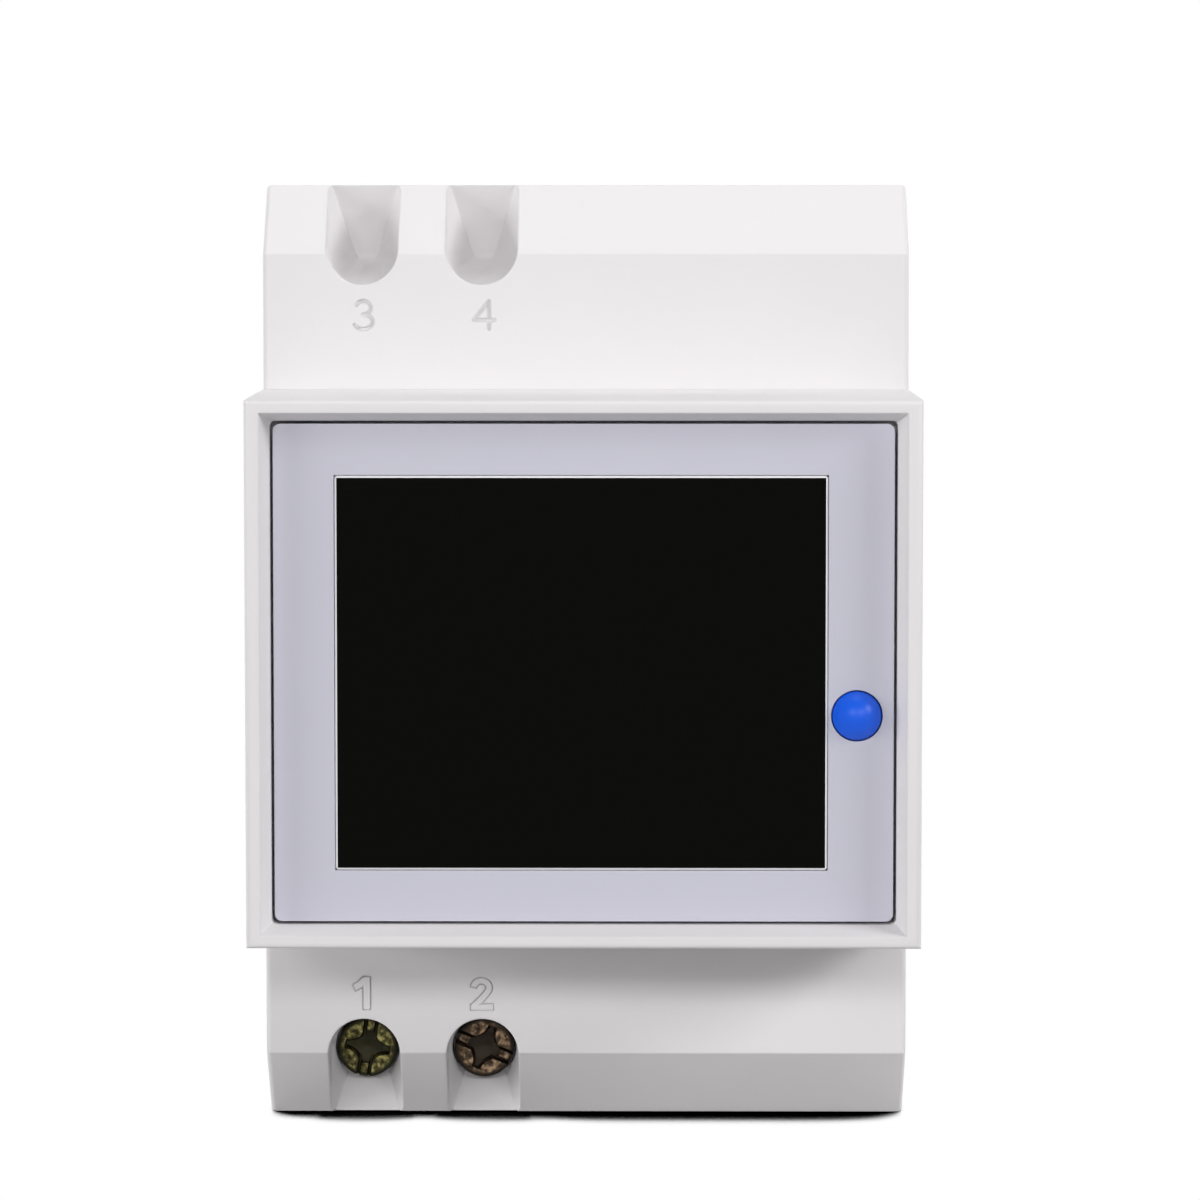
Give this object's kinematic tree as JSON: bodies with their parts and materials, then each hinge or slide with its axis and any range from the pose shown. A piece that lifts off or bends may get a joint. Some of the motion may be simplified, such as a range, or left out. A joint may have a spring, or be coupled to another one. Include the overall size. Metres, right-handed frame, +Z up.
{
  "type": "din rail energy meter",
  "caption": "Slim box meter for a 35 mm rail: display window with a push button, clamp terminals, spring rail clip.",
  "frame": {"origin": "middle of the seat on the rail", "axes": "+X to the right across the front, +Y towards the rail, +Z up"},
  "size_m": [0.054, 0.066, 0.079],
  "materials": {
    "white_plastic": "fine moulded satin",
    "panel_plastic": "satin",
    "window_plastic": "polished",
    "blue_plastic": "semi-gloss",
    "dark_plastic": "moulded",
    "display_glass": "polished",
    "diffuser_plastic": "frosted",
    "circuit_board": "solder mask",
    "zinc_steel": "zinc plated",
    "screw_steel": "dark yellow passivated",
    "spring_steel": "drawn",
    "copper": "bright strip",
    "tinned_copper": "tinned",
    "manganin": "satin strip",
    "ferrite": "sintered",
    "winding_tape": "polyester tape",
    "capacitor_box": "moulded box",
    "capacitor_sleeve": "shrink sleeve",
    "varistor_coat": "dipped coat",
    "resistor_coat": "dipped coat",
    "clip_plastic": "moulded"
  },
  "bodies": {
    "housing": {"front_cover": "white_plastic", "base_housing": "white_plastic", "face_panel": "panel_plastic", "window_lens": "window_plastic", "tact_switch": "dark_plastic", "lcd_glass": "display_glass", "lcd_backlight": "diffuser_plastic", "lcd_frame": "dark_plastic", "display_board": "circuit_board", "display_screws": "zinc_steel", "board_header": "dark_plastic", "power_board": "circuit_board", "board_screws": "zinc_steel", "transformer_core": "ferrite", "transformer_winding": "winding_tape", "film_capacitor": "capacitor_box", "electrolytic_capacitors": "capacitor_sleeve", "varistor": "varistor_coat", "fuse_resistor": "resistor_coat", "metering_chip": "dark_plastic", "microcontroller": "dark_plastic", "crystal": "zinc_steel", "sense_pins": "tinned_copper", "line_bar_lower": "copper", "line_bar_upper": "copper", "neutral_bar": "copper", "shunt_strip": "manganin", "push_in_springs": "spring_steel", "clip_spring": "spring_steel"},
    "button": {"button_cap": "blue_plastic", "switch_plunger": "dark_plastic"},
    "screw_1": {"terminal_screw_1": "screw_steel"},
    "cage_1": {"terminal_cage_1": "zinc_steel"},
    "screw_2": {"terminal_screw_2": "screw_steel"},
    "cage_2": {"terminal_cage_2": "zinc_steel"},
    "rail_clip": {"din_clip": "clip_plastic"}
  },
  "joints": [
    {"name": "button_press", "type": "slide", "parent": "housing", "child": "button", "axis": [0, 1, 0], "range_m": [0, 0.0005], "stiffness_N_per_m": 3000, "springref_m": -0.0003},
    {"name": "clip_pull", "type": "slide", "parent": "housing", "child": "rail_clip", "axis": [0, 0, -1], "range_m": [0, 0.003], "stiffness_N_per_m": 1500, "springref_m": -0.003, "deforming": ["clip_spring"]},
    {"name": "screw_1_turn", "type": "hinge", "parent": "housing", "child": "screw_1", "pos_m": [-0.01875, -0.035, -0.034], "axis": [0, 1, 0], "range_deg": [0, 2880.5]},
    {"name": "cage_1_rise", "type": "slide", "parent": "housing", "child": "cage_1", "axis": [0, -1, 0], "range_m": [0, 0.0048]},
    {"name": "screw_2_turn", "type": "hinge", "parent": "housing", "child": "screw_2", "pos_m": [-0.00875, -0.035, -0.034], "axis": [0, 1, 0], "range_deg": [0, 2880.5]},
    {"name": "cage_2_rise", "type": "slide", "parent": "housing", "child": "cage_2", "axis": [0, -1, 0], "range_m": [0, 0.0048]}
  ],
  "couplings": [
    {"joint": "screw_1_turn", "follows": "cage_1_rise", "rad_per_m": 10472},
    {"joint": "screw_2_turn", "follows": "cage_2_rise", "rad_per_m": 10472}
  ]
}
